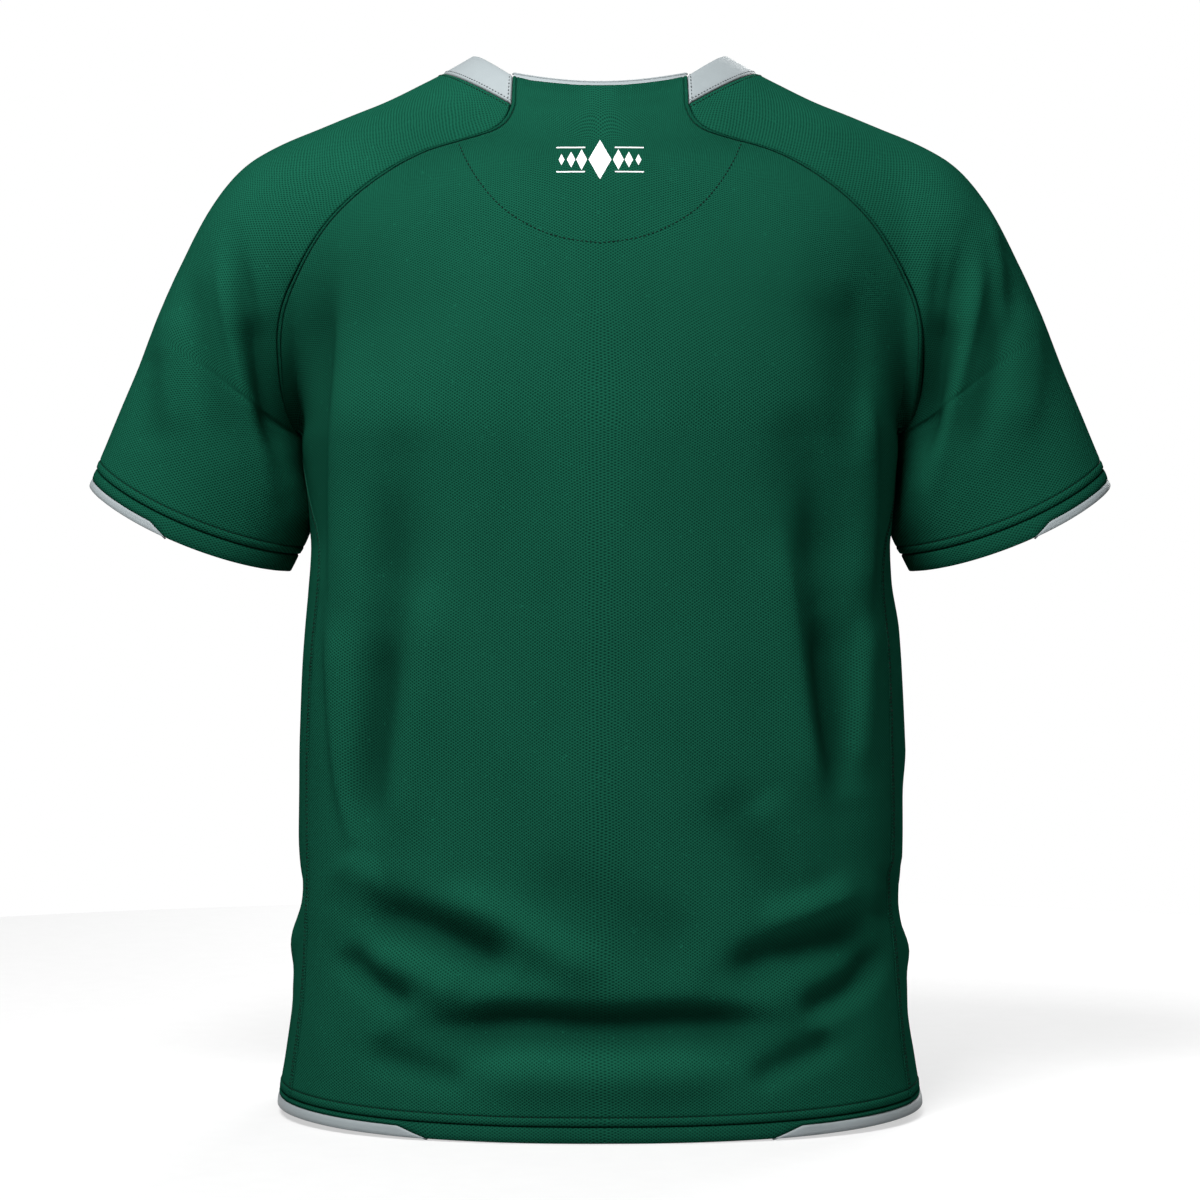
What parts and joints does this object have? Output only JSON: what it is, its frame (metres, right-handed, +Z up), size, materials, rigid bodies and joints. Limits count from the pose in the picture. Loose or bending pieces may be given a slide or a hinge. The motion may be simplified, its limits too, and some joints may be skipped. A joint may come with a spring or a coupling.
{
  "type": "football jersey",
  "caption": "Short-sleeved raglan football jersey in green knit with a grey V-neck collar and grey hem and cuff insets, hollow and filled out as if worn.",
  "frame": {"origin": "inside the open neck between the shoulders, level with the nape, where a hanger or stand would carry the jersey", "axes": "+Z up from hem to neck, -Y towards the jersey's front, +X towards its left sleeve"},
  "size_m": [0.7032, 0.2999, 0.7206],
  "materials": {
    "green_knit": "fine ribbed polyester knit, matt",
    "green_band_knit": "the same knit, folded and stitched",
    "grey_smooth_knit": "smooth light grey knit, slight lustre"
  },
  "bodies": {
    "root": {"back_panel": "green_knit", "front_panel": "green_knit", "sleeve_left": "green_knit", "sleeve_right": "green_knit", "cuff_band_left": "green_band_knit", "cuff_band_right": "green_band_knit", "cuff_inset_left": "grey_smooth_knit", "cuff_inset_right": "grey_smooth_knit", "hem_band_back": "green_band_knit", "hem_band_front": "green_band_knit", "hem_inset_left": "grey_smooth_knit", "hem_inset_right": "grey_smooth_knit", "collar_left": "grey_smooth_knit", "collar_right": "grey_smooth_knit", "neck_facing": "grey_smooth_knit"}
  },
  "joints": []
}
